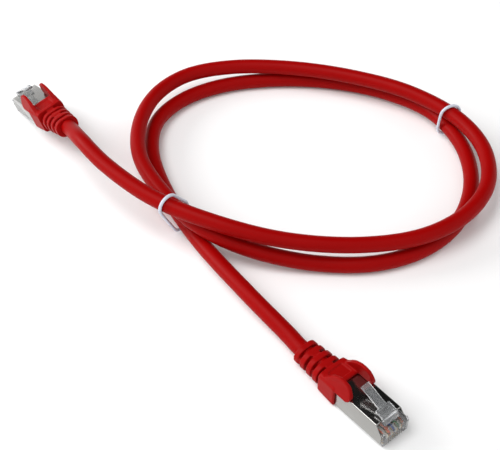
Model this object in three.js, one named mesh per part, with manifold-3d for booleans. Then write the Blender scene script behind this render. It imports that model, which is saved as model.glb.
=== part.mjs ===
// Shielded ethernet patch cable, about one metre: a red four-pair cord wound into two loose turns,
// held by two coated wire ties, with a clear 8-position modular plug in a shield and a boot at each end.
// Millimetres, +Z up. The cord lies on z = 0 and the origin is below the middle of the whole object.
import * as THREE from 'three';
import Module from 'manifold-3d';
import { mergeVertices } from 'three/addons/utils/BufferGeometryUtils.js';

// Cord
const JACKET_OD = 6.4;
const JACKET_WALL = 0.6;
const SCREEN_OD = 4.6;
const SCREEN_WALL = 0.3;
const PAIR_OD = 1.05;
const PAIR_OFFSET = 0.86;
const CORD_SIDES = 12;
const CORD_STEPS = 80;

// Plug, in its own frame: x across, y towards the nose, z up to the latch, origin under the nose's front
const PLUG_WIDTH = 11.8;
const NOSE_HEIGHT = 6.6;
const SHIELD_TOP = 8.0;
const SHIELD_BOTTOM = -0.6;
const SHIELD_SHEET = 0.3;
const SHIELD_REAR = -26;
const SHIELD_FRONT = -4.2;
const BOTTOM_PLATE_FRONT = -14;
const HOUSING_REAR = -21;
const PIN_COUNT = 8;
const PIN_PITCH = 1.02;
const WIRE_OD = 0.9;
const WIRE_ROWS = [2.95, 4.05];
const BOOT_WIDTH = 13.8;
const BOOT_BOTTOM = -1.2;
const BOOT_TOP = 9.0;
const BOOT_FRONT = -23;
const BLOCK_REAR = -31.4;
const RING_LENGTH = 2.1;
const RING_PITCH = 3.4;
const RING_COUNT = 4;
const REAR_RING = -44;
const BOOT_SAG = 0.75;
const EAR_FOOT = 6;
const EAR_LEAN = 0.2;
const EAR_INSIDE_LEAN = 0.085;
const REAR_NARROWING = 0.1;
const REAR_DROP = 0.8;
const EAR_THICKNESS = 2.2;
const CORD_AXIS = 3.9;
const LATCH_WIDTH = 6.3;
const LEVER_WIDTH = 3.3;

// Gap between pieces that touch
const GAP = 0.3;

// Ties: each one's middle, and the compass heading of the strands that it gathers
const TIE_OD = 1.3;
const TIE_GAP = 0.65;
const TIE_SIDES = 6;
const TIE_STEPS = 36;
const TIE_PITCH = 1.6;
const TIE_OVERLAP = 0.14;
const TIES = {
  tie_left: { middle: [-25.4, -0.5, 12.6], heading: 130.7, start: -0.02 },
  tie_right: { middle: [88.4, 61.6, 9], heading: 339.1, start: 0.4 },
};

// Where each plug's origin is, its heading from +Y towards +X, its tilt (nose up) and its roll, in degrees
const PLUG_A = { at: [51.7, -95.9, 1.2], heading: 139.3, tilt: 0, roll: 0 };
const PLUG_B = { at: [-97.05, 79.9, 1.4], heading: -35.2, tilt: -16.7, roll: 12.4 };

// The cord's centre line between the two boots, from plug B to plug A
const ROUTE = [
  [-65.6, 31, 22], [-54.4, 16.8, 21.4], [-34.2, -0.9, 20.1], [-10, -12.3, 18.2], [16.5, -16.9, 13.8], [46, -16.3, 11],
  [70.5, -10.2, 10.2], [88.5, 2.5, 10.2], [98.8, 19.5, 10.6], [99.8, 39.5, 11.4], [91.5, 58, 12.1], [73, 76, 11.8],
  [49.5, 88.5, 10.6], [22, 95.5, 10.2], [-6, 96, 10.2], [-25.7, 89.7, 10.2], [-38.2, 76.2, 10.4], [-44.2, 55.8, 11],
  [-42.4, 32, 12], [-30.5, 8.5, 12.4], [-16.5, -8, 12.2], [1.5, -15.5, 8], [27.5, -19, 3.6], [52, -18.5, 3.3],
  [72, -10, 3.3], [86.5, 5.5, 3.4], [94, 26.5, 4], [93, 48.5, 5], [83.5, 69, 5.5], [67, 83.5, 4.6],
  [43.5, 93.5, 3.5], [16.5, 96, 3.3], [-9, 91.5, 3.3], [-27, 81, 3.5], [-37.5, 65.5, 4], [-39, 45, 4.8],
  [-31, 17.5, 5.4], [-17, -9, 5.5], [2.3, -37, 6.1], [16.7, -54.5, 4.3],
];

const MATERIALS = {
  jacket: new THREE.MeshStandardMaterial({ color: 0xa80f12, roughness: 0.4, metalness: 0 }),
  boot: new THREE.MeshStandardMaterial({ color: 0xa80f12, roughness: 0.45, metalness: 0 }),
  clear: new THREE.MeshStandardMaterial({ color: 0xd8dde0, roughness: 0.08, metalness: 0 }),
  nickel: new THREE.MeshStandardMaterial({ color: 0xb4b4b2, roughness: 0.25, metalness: 1 }),
  gold: new THREE.MeshStandardMaterial({ color: 0xd2a548, roughness: 0.25, metalness: 1 }),
  braid: new THREE.MeshStandardMaterial({ color: 0xb9b6ae, roughness: 0.4, metalness: 1 }),
  tie: new THREE.MeshStandardMaterial({ color: 0xdfe3ea, roughness: 0.35, metalness: 0 }),
  blue: new THREE.MeshStandardMaterial({ color: 0x2a4f9c, roughness: 0.5, metalness: 0 }),
  orange: new THREE.MeshStandardMaterial({ color: 0xd8602a, roughness: 0.5, metalness: 0 }),
  green: new THREE.MeshStandardMaterial({ color: 0x2f7d48, roughness: 0.5, metalness: 0 }),
  brown: new THREE.MeshStandardMaterial({ color: 0x6b4028, roughness: 0.5, metalness: 0 }),
  white: new THREE.MeshStandardMaterial({ color: 0xe6e2d8, roughness: 0.5, metalness: 0 }),
};

// The order of the eight wires across the plug, from pin 1 at -x
const WIRING = ['white', 'orange', 'white', 'blue', 'white', 'green', 'white', 'brown'];
const PAIRS = ['orange', 'green', 'blue', 'brown'];

const wasm = await Module();
wasm.setup();

function toSolid(geometry) {
  const bare = geometry.clone();
  bare.deleteAttribute('normal');
  bare.deleteAttribute('uv');
  const merged = mergeVertices(bare, 1e-5);
  const mesh = new wasm.Mesh({
    numProp: 3,
    vertProperties: new Float32Array(merged.attributes.position.array),
    triVerts: new Uint32Array(merged.index.array),
  });
  return new wasm.Manifold(mesh);
}

function toGeometry(solid) {
  const mesh = solid.getMesh();
  const geometry = new THREE.BufferGeometry();
  geometry.setAttribute('position', new THREE.BufferAttribute(new Float32Array(mesh.vertProperties), 3));
  geometry.setIndex(new THREE.BufferAttribute(new Uint32Array(mesh.triVerts), 1));
  geometry.computeVertexNormals();
  return geometry;
}

function join(first, ...others) {
  return others.reduce((whole, other) => whole.add(toSolid(other)), first);
}

function cut(first, ...others) {
  return others.reduce((whole, other) => whole.subtract(toSolid(other)), first);
}

// Box between two corners
function block(x0, x1, y0, y1, z0, z1) {
  return new THREE.BoxGeometry(x1 - x0, y1 - y0, z1 - z0).translate((x0 + x1) / 2, (y0 + y1) / 2, (z0 + z1) / 2);
}

// Rod along y, from y0 to y1, centred on height z
function rod(radius, y0, y1, z, sides, x = 0) {
  return new THREE.CylinderGeometry(radius, radius, y1 - y0, sides).translate(x, (y0 + y1) / 2, z);
}

// Outline in (y, z), given thickness from x0 to x1
function slab(outline, x0, x1) {
  const shape = new THREE.Shape(outline.map(([y, z]) => new THREE.Vector2(y, z)));
  const geometry = new THREE.ExtrudeGeometry(shape, { depth: x1 - x0, bevelEnabled: false, curveSegments: 6 });
  const turn = new THREE.Matrix4().makeBasis(
    new THREE.Vector3(0, 1, 0), new THREE.Vector3(0, 0, 1), new THREE.Vector3(1, 0, 0));
  return geometry.applyMatrix4(turn).translate(x0, 0, 0);
}

// Rectangle with round corners in (x, z), run along y from y0 to y1
function roundedBar(width, z0, z1, radius, y0, y1) {
  const w = width / 2;
  const shape = new THREE.Shape();
  shape.moveTo(-w + radius, z0);
  shape.lineTo(w - radius, z0);
  shape.absarc(w - radius, z0 + radius, radius, -Math.PI / 2, 0, false);
  shape.lineTo(w, z1 - radius);
  shape.absarc(w - radius, z1 - radius, radius, 0, Math.PI / 2, false);
  shape.lineTo(-w + radius, z1);
  shape.absarc(-w + radius, z1 - radius, radius, Math.PI / 2, Math.PI, false);
  shape.lineTo(-w, z0 + radius);
  shape.absarc(-w + radius, z0 + radius, radius, Math.PI, Math.PI * 1.5, false);
  const geometry = new THREE.ExtrudeGeometry(shape, { depth: y1 - y0, bevelEnabled: false, curveSegments: 4 });
  return geometry.rotateX(Math.PI / 2).translate(0, y1, 0);
}

function circleShape(radius, sides, x = 0, y = 0) {
  const points = [];
  for (let i = 0; i < sides; i += 1) {
    const angle = (i / sides) * Math.PI * 2;
    points.push(new THREE.Vector2(x + Math.cos(angle) * radius, y + Math.sin(angle) * radius));
  }
  return new THREE.Shape(points);
}

function pipeAlong(curve, shape, steps) {
  return new THREE.ExtrudeGeometry(shape, { steps, bevelEnabled: false, extrudePath: curve });
}

function mesh(name, geometry, material) {
  const part = new THREE.Mesh(geometry, MATERIALS[material]);
  part.name = name;
  return part;
}

// Moulded PVC boot: a block around the shield's rear, two raised ears beside the latch, four strain-relief rings
function bootGeometry() {
  const half = BOOT_WIDTH / 2;
  let solid = toSolid(shaped(roundedBar(BOOT_WIDTH, BOOT_BOTTOM, BOOT_TOP, 1.6, BLOCK_REAR, BOOT_FRONT), (x, y, z) => [
    x * narrowing(y), y, y < BOOT_FRONT - 1 && z > CORD_AXIS ? z - REAR_DROP : z]));
  const ear = [[-31, 6], [-31, 7.6], [-29, 8.9], [-26, 11.9], [-23.2, 13.7], [-20.6, 14.2], [-18.2, 13.4],
    [-16.9, 11.5], [-16.3, 9.4], [-16.6, 7.8], [-17.8, 6.9], [-23.2, 6.9], [-24, 6]];
  const left = shaped(slab(ear, -half, -half + EAR_THICKNESS), (x, y, z) => {
    const lean = x < -half + 0.1 ? EAR_LEAN : EAR_INSIDE_LEAN;
    return [(x + (z - EAR_FOOT) * lean) * narrowing(y), y, z];
  });
  const right = shaped(slab(ear, half - EAR_THICKNESS, half), (x, y, z) => {
    const lean = x > half - 0.1 ? EAR_LEAN : EAR_INSIDE_LEAN;
    return [(x - (z - EAR_FOOT) * lean) * narrowing(y), y, z];
  });
  solid = join(solid, left, right);
  for (let i = 0; i < RING_COUNT; i += 1) {
    const middle = REAR_RING + i * RING_PITCH;
    const centre = 2.95 + i * 0.1;
    const halfHeight = 3.95 + i * 0.1;
    const ring = roundedBar(
      10.2 + i * 0.5, centre - halfHeight, centre + halfHeight, 3.7, middle - RING_LENGTH / 2, middle + RING_LENGTH / 2);
    const gapFront = middle + RING_PITCH;
    const upright = i % 2 === 1;
    const web = upright
      ? block(-1.6, 1.6, middle, gapFront, centre - halfHeight + 0.5, centre + halfHeight - 0.3)
      : block(-4.6, 4.6, middle, gapFront, centre - 1.3, centre + 1.3);
    solid = join(solid, ring, web);
  }
  const bore = new THREE.CatmullRomCurve3([-30, -34, -40.5, -47, -50].map((y) => new THREE.Vector3(0, y, cordHeight(y))));
  const pocketHalf = PLUG_WIDTH / 2 + 0.2;
  return toGeometry(cut(
    solid,
    block(-pocketHalf, pocketHalf, SHIELD_REAR - GAP, 0, SHIELD_BOTTOM - 0.2, SHIELD_TOP + GAP),
    rod(4.3, -31.1, SHIELD_REAR, CORD_AXIS, 20),
    pipeAlong(bore, circleShape(JACKET_OD / 2 + GAP + 0.1, 20), 12),
  ));
}

// Moves each corner of a piece by a rule
function shaped(geometry, rule) {
  const corners = geometry.getAttribute('position');
  for (let i = 0; i < corners.count; i += 1) {
    corners.setXYZ(i, ...rule(corners.getX(i), corners.getY(i), corners.getZ(i)));
  }
  return geometry;
}

// The boot's block is narrower at its rear, where the rings begin
function narrowing(y) {
  return 1 - REAR_NARROWING * Math.min(Math.max((BOOT_FRONT - y) / (BOOT_FRONT - BLOCK_REAR), 0), 1);
}

// Height of the cord's centre in a plug: the boot's rings give under its weight behind the block
function cordHeight(y) {
  return CORD_AXIS - BOOT_SAG * (Math.max(BLOCK_REAR - y, 0) / (BLOCK_REAR - REAR_RING)) ** 2;
}

// Folded nickel-plated brass shell with a crimp barrel that grips the cord's braid
function shieldGeometry() {
  const side = [[SHIELD_REAR, SHIELD_BOTTOM], [BOTTOM_PLATE_FRONT, SHIELD_BOTTOM], [BOTTOM_PLATE_FRONT, 0.05],
    [-1.2, 0.05], [-1.2, 4.2], [SHIELD_FRONT, SHIELD_TOP], [SHIELD_REAR, SHIELD_TOP]];
  const half = PLUG_WIDTH / 2;
  const inner = half - SHIELD_SHEET;
  let solid = toSolid(slab(side, -half, half));
  solid = cut(
    solid,
    block(-inner, inner, SHIELD_REAR + SHIELD_SHEET, 1, SHIELD_BOTTOM + SHIELD_SHEET, SHIELD_TOP - SHIELD_SHEET),
    block(-inner, inner, BOTTOM_PLATE_FRONT, 1, -1, 2),
  );
  solid = join(solid, rod(3.9, SHIELD_REAR - 4.6, SHIELD_REAR + 0.1, CORD_AXIS, 20));
  return toGeometry(cut(solid, rod(3.55, SHIELD_REAR - 6, SHIELD_REAR + 1, CORD_AXIS, 20)));
}

function pinX(i) {
  return ((PIN_COUNT - 1) / 2 - i) * PIN_PITCH;
}

function wireHeight(i) {
  return WIRE_ROWS[i % 2];
}

// Clear polycarbonate body: a nose with eight contact slots, and a rear cavity for the wire guide
function housingGeometry() {
  const nose = [[0, 0], [0, 5.4], [-1.1, NOSE_HEIGHT], [-4, NOSE_HEIGHT], [-4, 7.3], [HOUSING_REAR, 7.3],
    [HOUSING_REAR, 0.05], [-14, 0.05], [-14, 0]];
  const innerHalf = PLUG_WIDTH / 2 - SHIELD_SHEET - GAP;
  const flangeHalf = PLUG_WIDTH / 2 - 0.06;
  let solid = toSolid(slab(nose, -innerHalf, innerHalf));
  const flange = [[0, 0], [0, 5.4], [-0.9, 6.4], [-0.9, 0]];
  solid = join(solid, slab(flange, -flangeHalf, flangeHalf));
  solid = cut(
    solid,
    block(-4.7, 4.7, HOUSING_REAR - 1, -8.4, 1.3, 6.3),
    block(-4.4, 4.4, -9, -2.6, 2.2, 4.85),
    block(-2.6, 2.6, -2.3, -1.5, 5.5, 8),
  );
  for (let i = 0; i < PIN_COUNT; i += 1) {
    solid = cut(solid, block(pinX(i) - 0.3, pinX(i) + 0.3, -6.4, 1, -1, 2.3));
  }
  return toGeometry(solid);
}

// Springy clear tongue: a wide shoulder that catches in the jack, then a narrow lever rising backwards
function latchGeometry() {
  const shoulder = [[-2.6, 6.9], [-2.2, 7.6], [-2.9, 8.9], [-4.4, 9.7], [-7.2, 10.3], [-7.2, 9.4], [-5, 8.9],
    [-3.8, 8.1], [-3.7, 6.9]];
  const lever = [[-6, 10], [-15.7, 13.5], [-15.9, 12.6], [-6, 9.1]];
  const solid = toSolid(slab(shoulder, -LATCH_WIDTH / 2, LATCH_WIDTH / 2));
  return toGeometry(join(solid, slab(lever, -LEVER_WIDTH / 2, LEVER_WIDTH / 2)));
}

// Plastic comb that holds the eight wires in two rows behind the contacts
function loadBarGeometry() {
  let solid = toSolid(block(-4.4, 4.4, -13, -9.2, 1.6, 6));
  for (let i = 0; i < PIN_COUNT; i += 1) {
    solid = cut(solid, rod(WIRE_OD / 2 + 0.1, -14, -8, wireHeight(i), 8, pinX(i)));
  }
  return toGeometry(solid);
}

// Stamped gold-plated blade that bites up into its wire
function contactGeometry(i) {
  const tip = wireHeight(i) - WIRE_OD / 2 - 0.12;
  const blade = [[-0.5, 0.9], [-1.2, 0.4], [-5.6, 0.4], [-5.9, 0.9], [-5.9, 1.9], [-5.1, tip], [-4.5, 1.8],
    [-3.6, 1.8], [-3, tip], [-2.4, 1.8], [-0.9, 1.8]];
  return slab(blade, pinX(i) - 0.16, pinX(i) + 0.16);
}

// One insulated wire, straight through the comb and then drawn in towards the cord
function wireGeometry(i) {
  const x = pinX(i);
  const z = wireHeight(i);
  const turn = ((i + 0.5) / PIN_COUNT) * Math.PI * 2;
  const rear = new THREE.Vector3(x * 0.62, -19.6, CORD_AXIS + Math.sin(turn) * 0.4 + (z - 3.5) * 1.5);
  const curve = new THREE.CatmullRomCurve3([
    rear, new THREE.Vector3(x * 0.96, -14.6, z), new THREE.Vector3(x, -13, z), new THREE.Vector3(x, -2.9, z)]);
  return pipeAlong(curve, circleShape(WIRE_OD / 2, 6), 5);
}

function plug(suffix, place) {
  const group = new THREE.Group();
  group.add(mesh(`boot_${suffix}`, bootGeometry(), 'boot'));
  group.add(mesh(`shield_${suffix}`, shieldGeometry(), 'nickel'));
  group.add(mesh(`housing_${suffix}`, housingGeometry(), 'clear'));
  group.add(mesh(`latch_${suffix}`, latchGeometry(), 'clear'));
  group.add(mesh(`wire_guide_${suffix}`, loadBarGeometry(), 'clear'));
  for (let i = 0; i < PIN_COUNT; i += 1) {
    group.add(mesh(`contact_${suffix}_${i + 1}`, contactGeometry(i), 'gold'));
    group.add(mesh(`wire_${suffix}_${i + 1}`, wireGeometry(i), WIRING[i]));
  }
  group.applyMatrix4(plugMatrix(place));
  return group;
}

function plugMatrix(place) {
  const degrees = THREE.MathUtils.degToRad;
  const turn = new THREE.Matrix4().makeRotationZ(-degrees(place.heading));
  const tilt = new THREE.Matrix4().makeRotationX(degrees(place.tilt));
  const roll = new THREE.Matrix4().makeRotationY(-degrees(place.roll));
  const move = new THREE.Matrix4().makeTranslation(...place.at);
  return move.multiply(turn).multiply(tilt).multiply(roll);
}

function plugPoint(place, x, y, z) {
  return new THREE.Vector3(x, y, z).applyMatrix4(plugMatrix(place));
}

// The whole centre line, run on through each boot to where the cord stops inside the shield
function cordCurve(inset) {
  const straightEnd = (place) => [inset, -34, -47].map((y) => plugPoint(place, 0, y, cordHeight(y)));
  const points = [
    ...straightEnd(PLUG_B),
    ...ROUTE.map((point) => new THREE.Vector3(...point)),
    ...straightEnd(PLUG_A).reverse(),
  ];
  return new THREE.CatmullRomCurve3(points, false, 'centripetal');
}

function cordParts() {
  const group = new THREE.Group();
  const jacketRadius = JACKET_OD / 2;
  const jacket = circleShape(jacketRadius, CORD_SIDES);
  jacket.holes.push(circleShape(jacketRadius - JACKET_WALL, CORD_SIDES));
  group.add(mesh('jacket', pipeAlong(cordCurve(-27), jacket, CORD_STEPS), 'jacket'));
  const screen = circleShape(SCREEN_OD / 2, 8);
  screen.holes.push(circleShape(SCREEN_OD / 2 - SCREEN_WALL, 8));
  group.add(mesh('screen', pipeAlong(cordCurve(-26), screen, CORD_STEPS), 'braid'));
  PAIRS.forEach((colour, i) => {
    const angle = (i + 0.5) * (Math.PI / 2);
    const pair = circleShape(PAIR_OD / 2, 5, Math.cos(angle) * PAIR_OFFSET, Math.sin(angle) * PAIR_OFFSET);
    group.add(mesh(`pair_${colour}`, pipeAlong(cordCurve(-22.5), pair, CORD_STEPS), colour));
  });
  return group;
}

// Corners of the tightest loop round a set of points in a plane, in order
function hull(points) {
  const sorted = [...points].sort((a, b) => a.x - b.x || a.y - b.y);
  const side = (list) => {
    const chain = [];
    list.forEach((point) => {
      while (chain.length > 1) {
        const a = chain[chain.length - 2];
        const b = chain[chain.length - 1];
        if ((b.x - a.x) * (point.y - a.y) - (b.y - a.y) * (point.x - a.x) > 1e-9) break;
        chain.pop();
      }
      chain.push(point);
    });
    chain.pop();
    return chain;
  };
  return [...side(sorted), ...side(sorted.reverse())];
}

// Plastic-coated wire wound once round the strands that cross an upright plane, its ends side by side
function tieGeometry({ middle, heading, start }) {
  const angle = THREE.MathUtils.degToRad(heading);
  const origin = new THREE.Vector3(...middle);
  const normal = new THREE.Vector3(Math.sin(angle), Math.cos(angle), 0);
  const across = new THREE.Vector3(Math.cos(angle), -Math.sin(angle), 0);
  const up = new THREE.Vector3(0, 0, 1);
  const samples = cordCurve(-27).getSpacedPoints(1000);
  const ring = [];
  for (let i = 1; i < samples.length; i += 1) {
    const before = samples[i - 1].clone().sub(origin);
    const after = samples[i].clone().sub(origin);
    if (before.dot(normal) * after.dot(normal) <= 0 && after.length() < 20) {
      const along = after.clone().sub(before).normalize();
      for (let k = 0; k < 24; k += 1) {
        const turn = (k / 24) * Math.PI * 2;
        const out = across.clone().multiplyScalar(Math.cos(turn)).addScaledVector(up, Math.sin(turn));
        const reach = JACKET_OD / 2 / Math.sqrt(1 - out.dot(along) ** 2) + TIE_GAP + TIE_OD / 2;
        const spot = after.clone().addScaledVector(out, reach);
        ring.push(new THREE.Vector2(spot.dot(across), spot.dot(up)));
      }
    }
  }
  const loop = new THREE.CatmullRomCurve3(
    hull(ring).map((point) => new THREE.Vector3(point.x, point.y, 0)), true, 'centripetal');
  const path = [];
  for (let i = 0; i <= TIE_STEPS; i += 1) {
    const t = (i / TIE_STEPS) * (1 + TIE_OVERLAP);
    const point = loop.getPointAt((((start + t) % 1) + 1) % 1);
    const along = (i / TIE_STEPS - 0.5) * TIE_PITCH;
    path.push(origin.clone().addScaledVector(across, point.x).addScaledVector(up, point.y)
      .addScaledVector(normal, along));
  }
  const wire = new THREE.CatmullRomCurve3(path, false, 'centripetal');
  return pipeAlong(wire, circleShape(TIE_OD / 2, TIE_SIDES), TIE_STEPS);
}

const cable = new THREE.Group();
cable.add(cordParts());
Object.entries(TIES).forEach(([name, tie]) => cable.add(mesh(name, tieGeometry(tie), 'tie')));
cable.add(plug('a', PLUG_A));
cable.add(plug('b', PLUG_B));

export default cable;
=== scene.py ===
import math

import bmesh
import bpy
from mathutils import Euler, Matrix, Vector


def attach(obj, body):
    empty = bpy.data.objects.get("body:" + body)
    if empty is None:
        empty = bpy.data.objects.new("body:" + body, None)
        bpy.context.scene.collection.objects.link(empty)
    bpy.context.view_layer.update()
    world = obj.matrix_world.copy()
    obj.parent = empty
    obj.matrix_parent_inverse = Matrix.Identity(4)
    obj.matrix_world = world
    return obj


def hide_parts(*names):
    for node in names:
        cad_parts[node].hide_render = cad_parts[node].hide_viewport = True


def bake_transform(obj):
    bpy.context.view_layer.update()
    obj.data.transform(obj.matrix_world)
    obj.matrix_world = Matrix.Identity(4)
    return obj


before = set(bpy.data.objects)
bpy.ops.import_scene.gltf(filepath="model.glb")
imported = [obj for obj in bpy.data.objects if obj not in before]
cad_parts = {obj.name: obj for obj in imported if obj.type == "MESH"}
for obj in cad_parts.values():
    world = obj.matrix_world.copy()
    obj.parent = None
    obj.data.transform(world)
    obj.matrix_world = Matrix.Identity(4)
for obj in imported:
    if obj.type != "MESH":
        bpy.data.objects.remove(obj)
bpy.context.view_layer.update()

# --------------------------------------------------------------------------------------------------
# Camera. It looks down at the coil from the front, about 0.4 m away, with a lens that takes in little more
# than the cable. Sizes are in millimetres here and in every section below, and turned to metres where used.
MM = 0.001
CAMERA_AT = (2.9, -297.2, 302.75)
CAMERA_DOWN = 45.06
CAMERA_ROLL = 0.38
LENS = 76.83
SENSOR = 36

camera_data = bpy.data.cameras.new("camera")
camera_data.lens = LENS
camera_data.sensor_width = SENSOR
camera = bpy.data.objects.new("camera", camera_data)
camera.location = Vector(CAMERA_AT) * MM
look = Euler((math.radians(90 - CAMERA_DOWN), 0, 0)).to_matrix()
camera.rotation_euler = (look @ Euler((0, 0, math.radians(CAMERA_ROLL))).to_matrix()).to_euler()
bpy.context.scene.collection.objects.link(camera)
bpy.context.scene.camera = camera

# --------------------------------------------------------------------------------------------------
# Studio. A pale sweep of matt board under the cable, a broad soft light overhead and one from the left, and a
# white room with one dark panel high at the back, which the bright metal picks up.
FLOOR_SIZE = 3000
FLOOR_COLOUR = "#F8F8F8"
PANEL_DIRECTION = (0.13, 0.62, 0.77)
PANEL_EDGE = (0.75, 0.86)
PANEL_BLACK = 0.015
ROOM_LIGHT = 0.85


def linear(colour):
    channels = [int(colour[i:i + 2], 16) / 255 for i in (1, 3, 5)]
    return tuple(c / 12.92 if c <= 0.04045 else ((c + 0.055) / 1.055) ** 2.4 for c in channels) + (1.0,)


def add_node(tree, kind, settings=None, links=None):
    node = tree.nodes.new(kind)
    for name, value in (settings or {}).items():
        if name in node.inputs:
            node.inputs[name].default_value = value
        else:
            setattr(node, name, value)
    for name, source in (links or {}).items():
        tree.links.new(source, node.inputs[name])
    return node


def new_material(name):
    material = bpy.data.materials.new(name)
    material.use_nodes = True
    material.node_tree.nodes.clear()
    return material, material.node_tree


def finish_material(tree, settings, links):
    shader = add_node(tree, "ShaderNodeBsdfPrincipled", settings, links)
    add_node(tree, "ShaderNodeOutputMaterial", links={"Surface": shader.outputs["BSDF"]})


# Matt white board: no shine, and a faint fibre that keeps the white from looking painted on.
board, tree = new_material("matt_white_board")
place = add_node(tree, "ShaderNodeTexCoord")
fibre = add_node(tree, "ShaderNodeTexNoise", {"Scale": 1 / (2 * MM), "Detail": 3.0},
                 {"Vector": place.outputs["Object"]})
rise = add_node(tree, "ShaderNodeBump", {"Strength": 0.02, "Distance": 0.1 * MM},
                {"Height": fibre.outputs["Fac"]})
finish_material(tree, {"Base Color": linear(FLOOR_COLOUR), "Roughness": 0.9, "Specular IOR Level": 0.1},
                {"Normal": rise.outputs["Normal"]})

bm = bmesh.new()
bmesh.ops.create_grid(bm, x_segments=1, y_segments=1, size=FLOOR_SIZE * MM / 2)
floor_mesh = bpy.data.meshes.new("floor")
bm.to_mesh(floor_mesh)
bm.free()
floor_mesh.materials.append(board)
floor = bpy.data.objects.new("floor", floor_mesh)
bpy.context.scene.collection.objects.link(floor)

LIGHTS = {
    "overhead": {"at": (-350, -100, 900), "size": 700, "power": 4.5},
    "left": {"at": (-900, 250, 450), "size": 500, "power": 5.5},
}
bpy.context.scene.view_settings.view_transform = "Standard"
for name, light in LIGHTS.items():
    lamp = bpy.data.lights.new(name, "AREA")
    lamp.shape = "DISK"
    lamp.size = light["size"] * MM
    lamp.energy = light["power"]
    holder = bpy.data.objects.new(name, lamp)
    holder.location = Vector(light["at"]) * MM
    holder.rotation_euler = (-holder.location).to_track_quat("-Z", "Y").to_euler()
    bpy.context.scene.collection.objects.link(holder)

world = bpy.data.worlds.new("white_room")
bpy.context.scene.world = world
world.use_nodes = True
tree = world.node_tree
tree.nodes.clear()
direction = add_node(tree, "ShaderNodeTexCoord")
toward_panel = add_node(tree, "ShaderNodeVectorMath", {"operation": "DOT_PRODUCT"},
                        {0: direction.outputs["Generated"]})
toward_panel.inputs[1].default_value = Vector(PANEL_DIRECTION).normalized()
panel = add_node(tree, "ShaderNodeValToRGB", links={"Fac": toward_panel.outputs["Value"]})
panel.color_ramp.elements[0].position = PANEL_EDGE[0]
panel.color_ramp.elements[0].color = (1, 1, 1, 1)
panel.color_ramp.elements[1].position = PANEL_EDGE[1]
panel.color_ramp.elements[1].color = (PANEL_BLACK, PANEL_BLACK, PANEL_BLACK, 1)
room = add_node(tree, "ShaderNodeBackground", {"Strength": ROOM_LIGHT}, {"Color": panel.outputs["Color"]})
add_node(tree, "ShaderNodeOutputWorld", links={"Surface": room.outputs["Background"]})

# --------------------------------------------------------------------------------------------------
# Jacket. One extruded tube of plasticised PVC from boot to boot. It rises from plug B over the bundle at the
# left tie, makes two loose turns with the first lying on the second, and leaves under the tie for plug A.
JACKET_OD = 6.4
CORD_AXIS = 3.9
BLOCK_REAR = -31.4
REAR_RING = -44
BOOT_SAG = 0.75
PLUG_A = {"at": (51.7, -95.9, 1.2), "heading": 139.3, "tilt": 0, "roll": 0}
PLUG_B = {"at": (-97.05, 79.9, 1.4), "heading": -35.2, "tilt": -16.7, "roll": 12.4}
PLUGS = {"a": PLUG_A, "b": PLUG_B}
ROUTE = [
    (-65.6, 31, 22), (-54.4, 16.8, 21.4), (-34.2, -0.9, 20.1), (-10, -12.3, 18.2), (16.5, -16.9, 13.8),
    (46, -16.3, 11), (70.5, -10.2, 10.2), (88.5, 2.5, 10.2), (98.8, 19.5, 10.6), (99.8, 39.5, 11.4),
    (91.5, 58, 12.1), (73, 76, 11.8), (49.5, 88.5, 10.6), (22, 95.5, 10.2), (-6, 96, 10.2),
    (-25.7, 89.7, 10.2), (-38.2, 76.2, 10.4), (-44.2, 55.8, 11), (-42.4, 32, 12), (-30.5, 8.5, 12.4),
    (-16.5, -8, 12.2), (1.5, -15.5, 8), (27.5, -19, 3.6), (52, -18.5, 3.3), (72, -10, 3.3),
    (86.5, 5.5, 3.4), (94, 26.5, 4), (93, 48.5, 5), (83.5, 69, 5.5), (67, 83.5, 4.6),
    (43.5, 93.5, 3.5), (16.5, 96, 3.3), (-9, 91.5, 3.3), (-27, 81, 3.5), (-37.5, 65.5, 4),
    (-39, 45, 4.8), (-31, 17.5, 5.4), (-17, -9, 5.5), (2.3, -37, 6.1), (16.7, -54.5, 4.3),
]
POINTS_PER_SPAN = 14
JACKET_RED = "#960303"
JACKET_RED_DEEP = "#8E0101"
CORD_START = -27


def plug_matrix(plug):
    turn = Matrix.Rotation(-math.radians(plug["heading"]), 4, "Z")
    tilt = Matrix.Rotation(math.radians(plug["tilt"]), 4, "X")
    roll = Matrix.Rotation(-math.radians(plug["roll"]), 4, "Y")
    return Matrix.Translation(plug["at"]) @ turn @ tilt @ roll


def smooth_line(points, per_span=POINTS_PER_SPAN):
    """A centripetal Catmull-Rom curve through the points, in their own unit."""
    points = [Vector(p) for p in points]
    points = [2 * points[0] - points[1]] + points + [2 * points[-1] - points[-2]]
    line = []
    for p0, p1, p2, p3 in zip(points, points[1:], points[2:], points[3:]):
        d0, d1, d2 = [math.sqrt((b - a).length) for a, b in ((p0, p1), (p1, p2), (p2, p3))]
        m1 = ((p1 - p0) / d0 - (p2 - p0) / (d0 + d1) + (p2 - p1) / d1) * d1
        m2 = ((p2 - p1) / d1 - (p3 - p1) / (d1 + d2) + (p3 - p2) / d2) * d1
        for i in range(per_span):
            t = i / per_span
            square = (3 * (p2 - p1) - 2 * m1 - m2) * t ** 2
            line.append(p1 + m1 * t + square + (2 * (p1 - p2) + m1 + m2) * t ** 3)
    line.append(points[-2])
    return line


def cord_height(y):
    """Height of the cord's centre in a plug: the boot's rings give under its weight behind the block."""
    return CORD_AXIS - BOOT_SAG * (max(BLOCK_REAR - y, 0) / (BLOCK_REAR - REAR_RING)) ** 2


def cord_line(inset):
    """The cord's centre line, from y = inset in plug B's frame to the same in plug A's."""
    ends = {}
    for side, plug in PLUGS.items():
        ends[side] = [plug_matrix(plug) @ Vector((0, y, cord_height(y))) for y in (inset, -34, -47)]
    return smooth_line(ends["b"] + [Vector(p) for p in ROUTE] + ends["a"][::-1])


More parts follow.
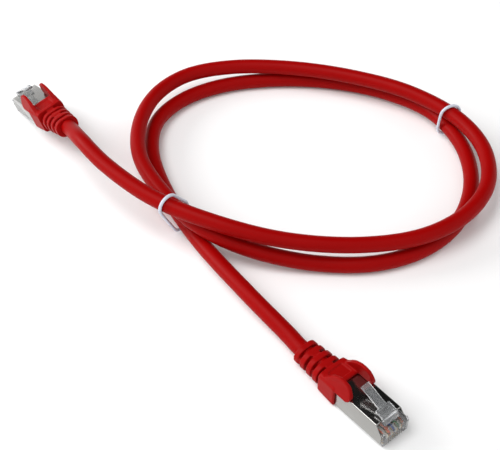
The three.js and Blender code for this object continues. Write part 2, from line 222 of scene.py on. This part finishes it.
def rod_along(name, line, diameter, material, sides=6):
    """A round rod along a line of points in mm, as a curve object with closed ends."""
    curve = bpy.data.curves.new(name, "CURVE")
    curve.dimensions = "3D"
    curve.bevel_depth = diameter / 2 * MM
    curve.bevel_resolution = sides
    curve.use_fill_caps = True
    spline = curve.splines.new("POLY")
    spline.points.add(len(line) - 1)
    for point, place in zip(spline.points, line):
        point.co = (*(Vector(place) * MM), 1)
    spline.use_smooth = True
    curve.materials.append(material)
    rod = bpy.data.objects.new(name, curve)
    bpy.context.scene.collection.objects.link(rod)
    return rod


def red_pvc(name, colour, deep, grain, grain_depth, roughness):
    """Coloured plasticised PVC: a soft sheen, faint cloudy differences in colour and a fine skin grain."""
    material, tree = new_material(name)
    place = add_node(tree, "ShaderNodeTexCoord")
    cloud = add_node(tree, "ShaderNodeTexNoise", {"Scale": 1 / (14 * MM), "Detail": 2.0},
                     {"Vector": place.outputs["Object"]})
    tint = add_node(tree, "ShaderNodeMix", {"data_type": "RGBA"}, {"Factor": cloud.outputs["Fac"]})
    tint.inputs[6].default_value = linear(deep)
    tint.inputs[7].default_value = linear(colour)
    skin = add_node(tree, "ShaderNodeTexNoise", {"Scale": 1 / (grain * MM), "Detail": 4.0},
                    {"Vector": place.outputs["Object"]})
    gloss = add_node(tree, "ShaderNodeMapRange", {"To Min": roughness - 0.05, "To Max": roughness + 0.05},
                     {"Value": skin.outputs["Fac"]})
    rise = add_node(tree, "ShaderNodeBump", {"Strength": 0.35, "Distance": grain_depth * MM},
                    {"Height": skin.outputs["Fac"]})
    finish_material(tree, {"IOR": 1.53, "Specular IOR Level": 0.06},
                    {"Base Color": tint.outputs[2], "Roughness": gloss.outputs["Result"],
                     "Normal": rise.outputs["Normal"]})
    return material


jacket_pvc = red_pvc("pvc_extruded_red", JACKET_RED, JACKET_RED_DEEP, 0.9, 0.02, 0.42)
jacket_line = cord_line(CORD_START)
jacket = rod_along("cord_jacket", jacket_line, JACKET_OD, jacket_pvc, sides=10)
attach(jacket, "cable")
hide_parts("jacket")

# --------------------------------------------------------------------------------------------------
# Screen and pairs. Inside the jacket a tinned copper braid over foil surrounds four pairs insulated with foamed
# polyethylene, which the closed jacket hides along the whole cord.
BRAID_GREY = "#B9B6AE"
INSULATION_WHITE = "#E6E2D8"
SCREEN_OD = 4.6
SCREEN_START = -26
PAIR_COLOURS = {"orange": "#E25A1C", "green": "#2F7D48", "blue": "#2A4F9C", "brown": "#A24A1E"}

# Tinned copper braid: dull grey metal crossed by fine slanting strands.
braid, tree = new_material("tinned_copper_braid")
place = add_node(tree, "ShaderNodeTexCoord")
strands = add_node(tree, "ShaderNodeTexWave",
                   {"Scale": 1 / (0.8 * MM), "Distortion": 1.0, "bands_direction": "DIAGONAL"},
                   {"Vector": place.outputs["Object"]})
rise = add_node(tree, "ShaderNodeBump", {"Strength": 0.6, "Distance": 0.1 * MM},
                {"Height": strands.outputs["Fac"]})
finish_material(tree, {"Base Color": linear(BRAID_GREY), "Metallic": 1.0, "Roughness": 0.4},
                {"Normal": rise.outputs["Normal"]})

# Foamed polyethylene: strong plain colour, half matt, with skin marks too fine to see singly.
insulation = {}
for name, colour in {**PAIR_COLOURS, "white": INSULATION_WHITE}.items():
    insulation[name], tree = new_material(f"foamed_polyethylene_{name}")
    place = add_node(tree, "ShaderNodeTexCoord")
    cells = add_node(tree, "ShaderNodeTexNoise", {"Scale": 1 / (0.3 * MM)},
                     {"Vector": place.outputs["Object"]})
    rise = add_node(tree, "ShaderNodeBump", {"Strength": 0.2, "Distance": 0.02 * MM},
                    {"Height": cells.outputs["Fac"]})
    finish_material(tree, {"Base Color": linear(colour), "Roughness": 0.45},
                    {"Normal": rise.outputs["Normal"]})


def dress(node, material):
    """A CAD node that keeps its mesh gets its finish."""
    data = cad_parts[node].data
    data.materials.clear()
    data.materials.append(material)


screen = rod_along("braid_screen", cord_line(SCREEN_START), SCREEN_OD, braid, sides=4)
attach(screen, "cable")
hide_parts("screen")
for name in PAIR_COLOURS:
    dress(f"pair_{name}", insulation[name])

# --------------------------------------------------------------------------------------------------
# Ties. Soft wire in a smooth white PVC coat, wound once round the strands and its ends left side by side.
# One gathers three strands where the turns begin, the other the two turns on the far right.
TIE_OD = 1.3
TIE_GAP = 0.4
TIE_PITCH = 1.6
TIE_OVERLAP = 0.14
TIE_STEPS = 90
TIE_REACH = 20
SECTION_POINTS = 24
CORNER_STEPS = 8
TIES = {
    "tie_left": {"middle": (-25.4, -0.5, 12.6), "heading": 130.7, "start": -0.02},
    "tie_right": {"middle": (88.4, 61.6, 9), "heading": 339.1, "start": 0.4},
}
TIE_WHITE = "#C6CCD8"

# White PVC coating: smooth, slightly soft-looking, cool white under the light.
tie_coat, tree = new_material("pvc_coating_white")
place = add_node(tree, "ShaderNodeTexCoord")
waves = add_node(tree, "ShaderNodeTexNoise", {"Scale": 1 / (1.5 * MM), "Detail": 2.0},
                 {"Vector": place.outputs["Object"]})
rise = add_node(tree, "ShaderNodeBump", {"Strength": 0.3, "Distance": 0.04 * MM},
                {"Height": waves.outputs["Fac"]})
finish_material(tree, {"Base Color": linear(TIE_WHITE), "Roughness": 0.3, "Subsurface Weight": 0.15,
                       "Subsurface Radius": (0.001, 0.001, 0.001)}, {"Normal": rise.outputs["Normal"]})


def hull(points):
    """The corners of the tightest loop round points in a plane, in order."""
    points = sorted(points)

    def chain(ordered):
        kept = []
        for p in ordered:
            while len(kept) > 1:
                a, b = kept[-2:]
                if (b[0] - a[0]) * (p[1] - a[1]) - (b[1] - a[1]) * (p[0] - a[0]) > 1e-9:
                    break
                kept.pop()
            kept.append(p)
        return kept[:-1]

    return chain(points) + chain(points[::-1])


def tie_line(tie):
    """A tie's centre line: once round the strands that cross its plane, and a little further."""
    origin = Vector(tie["middle"])
    angle = math.radians(tie["heading"])
    normal = Vector((math.sin(angle), math.cos(angle), 0))
    across = Vector((math.cos(angle), -math.sin(angle), 0))
    ring = []
    for before, after in zip(jacket_line, jacket_line[1:]):
        d0, d1 = before - origin, after - origin
        if d0.dot(normal) * d1.dot(normal) <= 0 and d1.length < TIE_REACH:
            along = (after - before).normalized()
            for k in range(SECTION_POINTS):
                turn = k / SECTION_POINTS * 2 * math.pi
                out = across * math.cos(turn) + Vector((0, 0, math.sin(turn)))
                strand = JACKET_OD / 2 / math.sqrt(1 - out.dot(along) ** 2)
                spot = d1 + out * (strand + TIE_GAP + TIE_OD / 2)
                ring.append((spot.dot(across), spot.z))
    corners = [Vector((x, z, 0)) for x, z in hull(ring)]
    around = smooth_line(corners + corners[:2], CORNER_STEPS)
    lengths = [0.0]
    for a, b in zip(around, around[1:]):
        lengths.append(lengths[-1] + (b - a).length)
    once = lengths[len(corners) * CORNER_STEPS]
    line = []
    for i in range(TIE_STEPS + 1):
        share = i / TIE_STEPS
        wanted = (tie["start"] + share * (1 + TIE_OVERLAP)) % 1 * once
        k = max(j for j, so_far in enumerate(lengths) if so_far <= wanted)
        place = around[k].lerp(around[k + 1], (wanted - lengths[k]) / max(lengths[k + 1] - lengths[k], 1e-9))
        line.append(origin + across * place.x + Vector((0, 0, place.y)) + normal * (share - 0.5) * TIE_PITCH)
    return line


for name, tie in TIES.items():
    wire = rod_along(f"{name}_wire", tie_line(tie), TIE_OD, tie_coat, sides=5)
    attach(wire, "cable")
    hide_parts(name)

# --------------------------------------------------------------------------------------------------
# Wires and contacts. Eight insulated wires run side by side into the nose, in two rows, and a gold-plated
# blade bites into each from below. Wire 1 is on the left with the contacts up and the nose pointing away.
PIN_COUNT = 8
PIN_PITCH = 1.02
WIRE_OD = 0.96
WIRE_ROWS = (2.95, 4.05)
WIRE_LIFT = 0.15
WIRE_END = -1.4
WIRING = ("white", "orange", "white", "blue", "white", "green", "white", "brown")
GOLD = "#D9A94A"

# Gold-plated phosphor bronze: a warm yellow metal, brushed by the drawing of the strip.
gold_plate, tree = new_material("gold_plated_phosphor_bronze")
place = add_node(tree, "ShaderNodeTexCoord")
draw = add_node(tree, "ShaderNodeTexNoise", {"Scale": 1 / (0.5 * MM)}, {"Vector": place.outputs["Object"]})
gloss = add_node(tree, "ShaderNodeMapRange", {"To Min": 0.18, "To Max": 0.32}, {"Value": draw.outputs["Fac"]})
finish_material(tree, {"Base Color": linear(GOLD), "Metallic": 1.0}, {"Roughness": gloss.outputs["Result"]})

for side, plug in PLUGS.items():
    for i in range(PIN_COUNT):
        x = ((PIN_COUNT - 1) / 2 - i) * PIN_PITCH
        z = WIRE_ROWS[i % 2] + WIRE_LIFT
        turn = (i + 0.5) / PIN_COUNT * 2 * math.pi
        rear = (x * 0.62, -19.6, CORD_AXIS + math.sin(turn) * 0.4 + (z - 3.5) * 1.5)
        path = smooth_line([rear, (x * 0.96, -14.6, z), (x, -13, z), (x, WIRE_END, z)], 8)
        wire = rod_along(f"wire_{side}_{i + 1}_insulation", [plug_matrix(plug) @ p for p in path], WIRE_OD,
                         insulation[WIRING[i]], sides=3)
        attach(wire, "cable")
        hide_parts(f"wire_{side}_{i + 1}")
        dress(f"contact_{side}_{i + 1}", gold_plate)

# --------------------------------------------------------------------------------------------------
# Housing. The plug's body is one clear moulding of polycarbonate: a nose with a chamfered top, eight open
# slots between thin fins and solid plastic round the wires, and behind it a cavity. The shield wraps it.
PLUG_WIDTH = 11.8
NOSE_HEIGHT = 6.6
SHEET = 0.3
HOUSING_REAR = -21
FLANGE_INSET = 0.06
SLOT_WIDTH = 0.5
SLOT_TOP = 2.35
CLEAR_TINT = "#F1F3F5"
# Polycarbonate: clear and glossy with bright edges, its moulded faces just uneven enough to bend what lies
# behind. The thin tongue is a little hazier than the nose.
CLEARNESS = {"polycarbonate_clear": 0.93, "polycarbonate_thin_tongue": 0.9}
polycarbonate = {}
for name, haze_free in CLEARNESS.items():
    polycarbonate[name], tree = new_material(name)
    place = add_node(tree, "ShaderNodeTexCoord")
    flow = add_node(tree, "ShaderNodeTexNoise", {"Scale": 1 / (2.5 * MM), "Detail": 1.0},
                    {"Vector": place.outputs["Object"]})
    rise = add_node(tree, "ShaderNodeBump", {"Strength": 0.12, "Distance": 0.05 * MM},
                    {"Height": flow.outputs["Fac"]})
    finish_material(tree, {"Base Color": linear(CLEAR_TINT), "Roughness": 0.03, "IOR": 1.585,
                           "Transmission Weight": haze_free}, {"Normal": rise.outputs["Normal"]})
clear_plastic = polycarbonate["polycarbonate_clear"]


def outline_solid(bm, outline, x0, x1):
    """A plate with an outline in (y, z), from x0 to x1."""
    face = bm.faces.new([bm.verts.new((x0, y, z)) for y, z in outline])
    grown = bmesh.ops.extrude_face_region(bm, geom=[face])["geom"]
    far_corners = [v for v in grown if isinstance(v, bmesh.types.BMVert)]
    bmesh.ops.translate(bm, vec=(x1 - x0, 0, 0), verts=far_corners)


def box_solid(bm, low, high, radius=0, segments=4, along="y"):
    """A box between two corners, with its edges along one axis rounded."""
    low, high = Vector(low), Vector(high)
    verts = bmesh.ops.create_cube(bm, size=1)["verts"]
    bmesh.ops.scale(bm, vec=high - low, verts=verts)
    bmesh.ops.translate(bm, vec=(low + high) / 2, verts=verts)
    if radius:
        axis = "xyz".index(along)
        edges = {e for v in verts for e in v.link_edges}
        long_edges = [e for e in edges if abs((e.verts[0].co - e.verts[1].co)[axis]) > 1e-6]
        bmesh.ops.bevel(bm, geom=long_edges, offset=radius, offset_type="OFFSET", segments=segments,
                        profile=0.5, affect="EDGES", material=-1)


def rod_solid(bm, radius, y0, y1, z, segments=48):
    """A round rod along y, centred on height z."""
    turn = Matrix.Translation((0, (y0 + y1) / 2, z)) @ Matrix.Rotation(math.pi / 2, 4, "X")
    bmesh.ops.create_cone(bm, cap_ends=True, segments=segments, radius1=radius, radius2=radius,
                          depth=y1 - y0, matrix=turn)


def object_of(bm, name):
    """Turns the solids drawn so far into an object, with their faces outward."""
    bmesh.ops.recalc_face_normals(bm, faces=bm.faces)
    mesh = bpy.data.meshes.new(name)
    bm.to_mesh(mesh)
    bm.free()
    made = bpy.data.objects.new(name, mesh)
    bpy.context.scene.collection.objects.link(made)
    return made


def settle(piece):
    """Applies the piece's modifiers to its mesh."""
    graph = bpy.context.evaluated_depsgraph_get()
    mesh = bpy.data.meshes.new_from_object(piece.evaluated_get(graph))
    piece.modifiers.clear()
    piece.data = mesh
    return piece


def carve(piece, cutter, operation="DIFFERENCE"):
    """Cuts one solid with another, or joins them, and removes the second."""
    change = piece.modifiers.new("carve", "BOOLEAN")
    change.operation = operation
    change.solver = "EXACT"
    change.use_self = True
    change.object = cutter
    settle(piece)
    bpy.data.objects.remove(cutter)
    return piece


def ease_edges(piece, width, segments=2):
    """Rounds a moulded or stamped piece's hard edges."""
    bevel = piece.modifiers.new("edges", "BEVEL")
    bevel.width = width
    bevel.segments = segments
    bevel.limit_method = "ANGLE"
    bevel.angle_limit = math.radians(35)
    bevel.harden_normals = False
    return settle(piece)


def place_on_plugs(piece, name, material, replaced, slot_name, crease=30):
    """Puts a copy of a piece made in the plug's frame on each plug, and hides the CAD part it stands for."""
    placed = {}
    for side, plug in PLUGS.items():
        mesh = piece.data.copy()
        mesh.transform(Matrix.Scale(MM, 4) @ plug_matrix(plug))
        mesh.materials.clear()
        mesh.materials.append(material)
        copy = bpy.data.objects.new(f"{name}_{side}_{slot_name}", mesh)
        bpy.context.scene.collection.objects.link(copy)
        mesh.set_sharp_from_angle(angle=math.radians(crease))
        for polygon in mesh.polygons:
            polygon.use_smooth = True
        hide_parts(f"{replaced}_{side}")
        placed[side] = copy
    bpy.data.objects.remove(piece)
    return placed


bm = bmesh.new()
nose_half = PLUG_WIDTH / 2 - SHEET - 0.3
outline_solid(bm, [(0, 0), (0, 5.3), (-1.2, NOSE_HEIGHT), (-4, NOSE_HEIGHT), (-4, 7.3), (HOUSING_REAR, 7.3),
                   (HOUSING_REAR, 0.05)], -nose_half, nose_half)
body = object_of(bm, "body")
bm = bmesh.new()
flange_half = PLUG_WIDTH / 2 - FLANGE_INSET
outline_solid(bm, [(0, 0), (0, 5.3), (-0.95, 6.35), (-0.95, 0)], -flange_half, flange_half)
body = carve(body, object_of(bm, "flange"), "UNION")
bm = bmesh.new()
box_solid(bm, (-4.7, HOUSING_REAR - 1, 1.3), (4.7, -8.4, 6.3))
body = carve(body, object_of(bm, "cavity"))
bm = bmesh.new()
box_solid(bm, (-2.6, -2.6, 5.6), (2.6, -1.7, 8))
for i in range(PIN_COUNT):
    x = ((PIN_COUNT - 1) / 2 - i) * PIN_PITCH
    box_solid(bm, (x - SLOT_WIDTH / 2, -6.4, -1), (x + SLOT_WIDTH / 2, 1, SLOT_TOP))
body = carve(body, object_of(bm, "slots"))
body = ease_edges(body, 0.12)
housings = place_on_plugs(body, "housing", clear_plastic, "housing", "clear_polycarbonate")
for side, piece in housings.items():
    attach(piece, "cable")
    dress(f"wire_guide_{side}", clear_plastic)

# --------------------------------------------------------------------------------------------------
# Shield. Sheet brass 0.3 mm thick, folded round the body, nickel plated and left bright, with its side plates
# cut on a slant towards the nose and a crimp barrel behind that grips the cord's braid.
SHIELD_TOP = 8.0
SHIELD_BOTTOM = -0.6
SHIELD_REAR = -26
SHIELD_FRONT = -4.2
BOTTOM_PLATE_FRONT = -14
FOLD = 0.45
BARREL_RADIUS = 3.9
BARREL_BORE = 3.55
BARREL_LENGTH = 4.6
NICKEL = "#A6A5A2"

# Nickel-plated brass: a bright grey metal, faintly wavy, with roll marks that soften what it reflects.
nickel, tree = new_material("nickel_plated_brass")
place = add_node(tree, "ShaderNodeTexCoord")
roll_marks = add_node(tree, "ShaderNodeTexNoise", {"Scale": 1 / (0.6 * MM), "Detail": 3.0},
                      {"Vector": place.outputs["Object"]})
gloss = add_node(tree, "ShaderNodeMapRange", {"To Min": 0.14, "To Max": 0.24},
                 {"Value": roll_marks.outputs["Fac"]})
dents = add_node(tree, "ShaderNodeTexNoise", {"Scale": 1 / (5 * MM)}, {"Vector": place.outputs["Object"]})
rise = add_node(tree, "ShaderNodeBump", {"Strength": 0.15, "Distance": 0.05 * MM},
                {"Height": dents.outputs["Fac"]})
finish_material(tree, {"Base Color": linear(NICKEL), "Metallic": 1.0},
                {"Roughness": gloss.outputs["Result"], "Normal": rise.outputs["Normal"]})

half = PLUG_WIDTH / 2
bm = bmesh.new()
box_solid(bm, (-half, SHIELD_REAR, SHIELD_BOTTOM), (half, 0.5, SHIELD_TOP), FOLD, 5)
shell = object_of(bm, "shell")
bm = bmesh.new()
box_solid(bm, (-half + SHEET, SHIELD_REAR + SHEET, SHIELD_BOTTOM + SHEET),
          (half - SHEET, 2, SHIELD_TOP - SHEET), FOLD - 0.2, 5)
shell = carve(shell, object_of(bm, "inside"))
bm = bmesh.new()
outline_solid(bm, [(2, 10), (SHIELD_FRONT, 10), (SHIELD_FRONT, SHIELD_TOP), (-1.2, 4.2), (-1.2, 0.05),
                   (BOTTOM_PLATE_FRONT, 0.05), (BOTTOM_PLATE_FRONT, -2), (2, -2)], -10, 10)
shell = carve(shell, object_of(bm, "front"))
bm = bmesh.new()
rod_solid(bm, BARREL_RADIUS, SHIELD_REAR - BARREL_LENGTH, SHIELD_REAR + 0.1, CORD_AXIS)
shell = carve(shell, object_of(bm, "barrel"), "UNION")
bm = bmesh.new()
rod_solid(bm, BARREL_BORE, SHIELD_REAR - 6, SHIELD_REAR + 1, CORD_AXIS)
shell = carve(shell, object_of(bm, "bore"))
shell = ease_edges(shell, 0.07)
for side, piece in place_on_plugs(shell, "shield", nickel, "shield", "nickel").items():
    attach(piece, "cable")

# --------------------------------------------------------------------------------------------------
# Latch. A springy tongue moulded on the nose, of the same clear polycarbonate: a thin root, wide shoulders
# that catch in the jack, and a narrow lever that rises backwards.
LATCH_WIDTH = 6.3
LEVER_WIDTH = 3.3

bm = bmesh.new()
outline_solid(bm, [(-2.4, 6.5), (-2.1, 7.4), (-2.5, 8.5), (-3.3, 9.2), (-4.6, 9.75), (-7.2, 10.3),
                   (-7.2, 9.4), (-5, 8.9), (-4.1, 8.45), (-3.7, 7.6), (-3.6, 6.5)],
              -LATCH_WIDTH / 2, LATCH_WIDTH / 2)
tongue = object_of(bm, "tongue")
bm = bmesh.new()
outline_solid(bm, [(-6, 10), (-15.7, 13.5), (-15.9, 12.6), (-6, 9.1)], -LEVER_WIDTH / 2, LEVER_WIDTH / 2)
tongue = carve(tongue, object_of(bm, "lever"), "UNION")
tongue = ease_edges(tongue, 0.2, 3)
thin_plastic = polycarbonate["polycarbonate_thin_tongue"]
latches = place_on_plugs(tongue, "latch", thin_plastic, "latch", "clear_polycarbonate")
for side, piece in latches.items():
    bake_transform(piece)

# --------------------------------------------------------------------------------------------------
# Boot. Soft red PVC moulded round the shield's rear: a block, two raised ears that guard the latch, and four
# rings joined by short webs that let the cord bend without kinking. Its hole grips the jacket.
BOOT_WIDTH = 13.8
BOOT_BOTTOM = -1.2
BOOT_TOP = 9.0
BOOT_FRONT = -23
EAR_CREST = [(-31, 6), (-31, 7.1), (-29, 8.6), (-26, 11.9), (-23.2, 13.7), (-20.6, 14.2),
             (-18.2, 13.4), (-16.9, 11.5), (-16.3, 9.4), (-16.6, 7.8), (-17.8, 6.9)]
EAR_FOOT_LINE = [(-23.2, 6.9), (-24, 6)]
EAR_FOOT = 6
EAR_LEAN = 0.2
EAR_INSIDE_LEAN = 0.085
REAR_NARROWING = 0.1
REAR_DROP = 0.8
EAR_THICKNESS = 2.2
RING_LENGTH = 2.1
RING_PITCH = 3.4
RING_COUNT = 4
RING_CORNER = 3.7
POCKET_ROOM = 0.04
BARREL_ROOM = 4.0
RECESS_DEPTH = 0.5
RECESS_SLOPE = 0.45
SKIN_VOXEL = 0.2
BOOT_GRIP = 0.2

boot_pvc = red_pvc("pvc_moulded_red", "#9A0909", "#8C0606", 0.5, 0.02, 0.42)
half = BOOT_WIDTH / 2
bm = bmesh.new()
box_solid(bm, (-half, BLOCK_REAR, BOOT_BOTTOM), (half, BOOT_FRONT, BOOT_TOP), 1.6, 5)
front_edges = [e for e in bm.edges if all(v.co.y > BOOT_FRONT - 0.01 for v in e.verts)]
bmesh.ops.bevel(bm, geom=front_edges, offset=0.55, offset_type="OFFSET", segments=3, profile=0.5,
                affect="EDGES", material=-1)
for point in bm.verts:
    if point.co.y < BOOT_FRONT - 3:
        point.co.x *= 1 - REAR_NARROWING
        point.co.z -= REAR_DROP if point.co.z > CORD_AXIS else 0
for side in (-1, 1):
    before = set(bm.verts)
    ear = [(p.y, p.z) for p in smooth_line([(0, y, z) for y, z in EAR_CREST], 4)] + EAR_FOOT_LINE
    outline_solid(bm, ear, side * half, side * (half - EAR_THICKNESS))
    for point in set(bm.verts) - before:
        lean = EAR_LEAN if abs(point.co.x) > half - 0.1 else EAR_INSIDE_LEAN
        point.co.x -= side * (point.co.z - EAR_FOOT) * lean
        backward = min(max((BOOT_FRONT - point.co.y) / (BOOT_FRONT - BLOCK_REAR), 0), 1)
        point.co.x *= 1 - REAR_NARROWING * backward
for i in range(RING_COUNT):
    middle = REAR_RING + i * RING_PITCH
    width = 10.2 + i * 0.5
    centre = 2.95 + i * 0.1
    low, high = centre - 3.95 - i * 0.1, centre + 3.95 + i * 0.1
    box_solid(bm, (-width / 2, middle - RING_LENGTH / 2, low),
              (width / 2, middle + RING_LENGTH / 2, high), RING_CORNER, 7)
    if i % 2:
        box_solid(bm, (-1.6, middle, low + 0.4), (1.6, middle + RING_PITCH, high - 0.1))
    else:
        box_solid(bm, (-4.6, middle, centre - 1.3), (4.6, middle + RING_PITCH, centre + 1.3))
boot = object_of(bm, "boot")
skin = boot.modifiers.new("skin", "REMESH")
skin.mode = "VOXEL"
skin.voxel_size = SKIN_VOXEL
settle(boot)
bm = bmesh.new()
pocket = PLUG_WIDTH / 2 + POCKET_ROOM
box_solid(bm, (-pocket, SHIELD_REAR - 0.3, SHIELD_BOTTOM - POCKET_ROOM),
          (pocket, 0, SHIELD_TOP + POCKET_ROOM))
pockets = object_of(bm, "pockets")
bm = bmesh.new()
rod_solid(bm, BARREL_ROOM, -30.8, SHIELD_REAR, CORD_AXIS)
pockets = carve(pockets, object_of(bm, "barrel_room"), "UNION")
bm = bmesh.new()
box_solid(bm, (-3.3, -29.8, BOOT_TOP - RECESS_DEPTH), (3.3, -24.8, BOOT_TOP + 3))
for point in bm.verts:
    point.co.z -= RECESS_SLOPE if point.co.z < BOOT_TOP and point.co.y < -29 else 0
boot = carve(boot, object_of(bm, "thumb_recess"))
boot = carve(boot, pockets)
bm = bmesh.new()
rod_solid(bm, JACKET_OD / 2 - BOOT_GRIP, -50, -30, CORD_AXIS)
for y in range(-48, -31, 2):
    everything = bm.verts[:] + bm.edges[:] + bm.faces[:]
    bmesh.ops.bisect_plane(bm, geom=everything, plane_co=(0, y, 0), plane_no=(0, 1, 0))
for point in bm.verts:
    point.co.z += cord_height(point.co.y) - CORD_AXIS
boot = carve(boot, object_of(bm, "cord_room"))
skin = boot.modifiers.new("skin", "REMESH")
skin.mode = "VOXEL"
skin.voxel_size = SKIN_VOXEL
soften = boot.modifiers.new("soften", "SMOOTH")
soften.factor = 0.5
soften.iterations = 6
settle(boot)
boots = place_on_plugs(boot, "boot", boot_pvc, "boot", "boot_pvc", crease=80)
for piece in boots.values():
    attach(piece, "cable")
